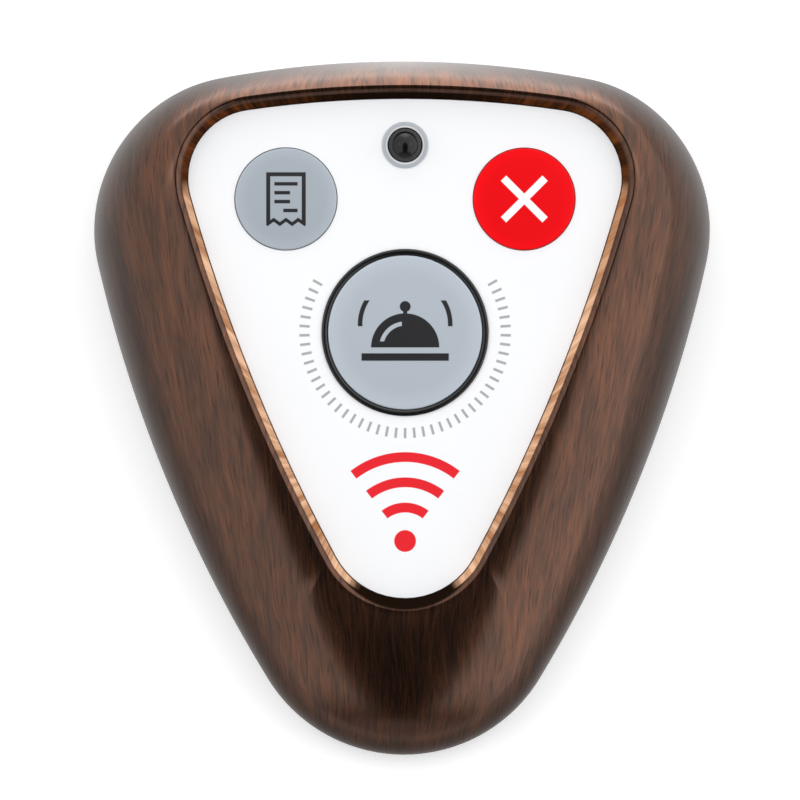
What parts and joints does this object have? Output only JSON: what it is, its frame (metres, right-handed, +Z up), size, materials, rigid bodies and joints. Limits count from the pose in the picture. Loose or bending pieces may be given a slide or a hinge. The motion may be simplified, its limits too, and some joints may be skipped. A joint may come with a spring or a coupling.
{
  "type": "waiter call button",
  "caption": "Wedge-shaped, triangular table call button with a wood-look shell, a recessed white panel, round sprung keys and a small dome lamp.",
  "frame": {"origin": "middle of the footprint, on the surface that the rubber feet stand on", "axes": "+X to the right of a person facing the panel, +Y to the wide back end, +Z up"},
  "size_m": [0.092, 0.103, 0.03],
  "materials": {
    "wood_film": "walnut pattern film under a satin clear coat",
    "white_panel": "satin white",
    "grey_key": "satin silver grey",
    "red_key": "satin red",
    "gloss_black": "gloss black",
    "lamp_lens": "smoked lens",
    "pale_ring": "satin pale grey",
    "black_case": "fine spark-eroded texture",
    "inner_plastic": "moulded",
    "board_laminate": "solder mask",
    "switch_black": "moulded",
    "plunger_ivory": "moulded",
    "tin_plate": "tinned",
    "steel_screw": "zinc plated",
    "copper_wire": "enamelled",
    "battery_jacket": "shrink sleeve",
    "ceramic": "fired",
    "rubber_foot": "matt"
  },
  "bodies": {
    "housing": {"top_shell": "wood_film", "base_plate": "black_case", "face_panel": "white_panel", "panel_carrier": "inner_plastic", "service_ring": "gloss_black", "led_ring": "pale_ring", "indicator_led": "lamp_lens", "led_legs": "tin_plate", "led_spacer": "inner_plastic", "circuit_board": "board_laminate", "switch_bodies": "switch_black", "switch_plates": "tin_plate", "radio_chip": "switch_black", "resonator_can": "tin_plate", "crystal_can": "tin_plate", "small_components": "ceramic", "antenna_coil": "copper_wire", "battery": "battery_jacket", "positive_contact": "tin_plate", "negative_contact": "tin_plate", "battery_spring": "tin_plate", "board_screws": "steel_screw", "case_screws": "steel_screw", "rubber_feet": "rubber_foot"},
    "service_key": {"service_button": "grey_key", "service_plunger": "plunger_ivory"},
    "bill_key": {"bill_button": "grey_key", "bill_plunger": "plunger_ivory"},
    "cancel_key": {"cancel_button": "red_key", "cancel_plunger": "plunger_ivory"},
    "battery_hatch": {"battery_door": "black_case"}
  },
  "joints": [
    {"name": "service_press", "type": "slide", "parent": "housing", "child": "service_key", "axis": [0, 0.1736, -0.9848], "range_m": [0, 0.0004], "stiffness_N_per_m": 3000, "springref_m": -0.0001},
    {"name": "bill_press", "type": "slide", "parent": "housing", "child": "bill_key", "axis": [0, 0.1736, -0.9848], "range_m": [0, 0.0004], "stiffness_N_per_m": 3000, "springref_m": -0.0001},
    {"name": "cancel_press", "type": "slide", "parent": "housing", "child": "cancel_key", "axis": [0, 0.1736, -0.9848], "range_m": [0, 0.0004], "stiffness_N_per_m": 3000, "springref_m": -0.0001},
    {"name": "door_slide", "type": "slide", "parent": "housing", "child": "battery_hatch", "axis": [0, 1, 0], "range_m": [0, 0.02]}
  ]
}
